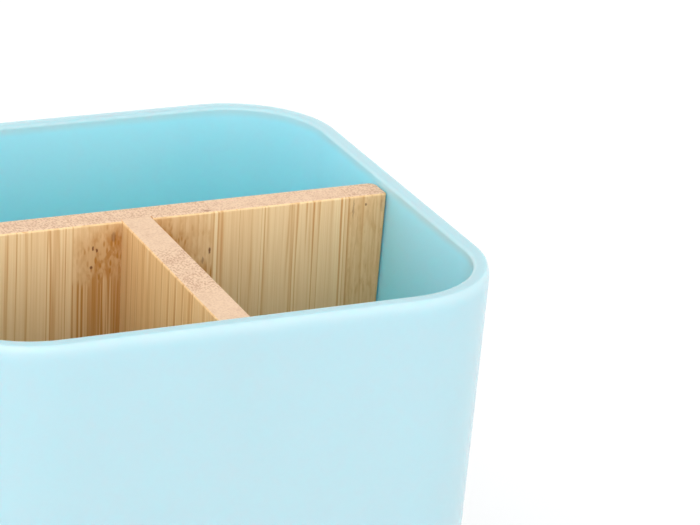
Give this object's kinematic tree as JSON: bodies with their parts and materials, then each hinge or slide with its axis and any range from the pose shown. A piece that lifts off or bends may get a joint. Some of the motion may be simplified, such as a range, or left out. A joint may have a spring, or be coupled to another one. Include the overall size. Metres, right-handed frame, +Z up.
{
  "type": "pen holder cup",
  "caption": "Square pen cup with rounded corners, tapered glossy plastic walls and a lift-out T-shaped bamboo divider that makes compartments.",
  "frame": {"origin": "middle of the base, on the surface the cup stands on", "axes": "+Z up through the mouth; +X to the right along the main divider board; -Y to the front, where the cross board runs"},
  "size_m": [0.09, 0.09, 0.1],
  "materials": {
    "cup_plastic": "glossy light aqua, slightly milky",
    "bamboo_light": "satin natural bamboo, upright grain",
    "bamboo_dark": "satin bamboo strip with a darker knuckle"
  },
  "bodies": {
    "cup": {"cup_shell": "cup_plastic"},
    "divider": {"main_board_strip_1": "bamboo_light", "main_board_strip_2": "bamboo_light", "main_board_strip_3": "bamboo_dark", "main_board_strip_4": "bamboo_light", "main_board_strip_5": "bamboo_light", "cross_board_strip_1": "bamboo_light", "cross_board_strip_2": "bamboo_light"}
  },
  "joints": [
    {"name": "divider_lift", "type": "slide", "parent": "cup", "child": "divider", "axis": [0, 0, 1], "range_m": [0, 0.11]}
  ]
}
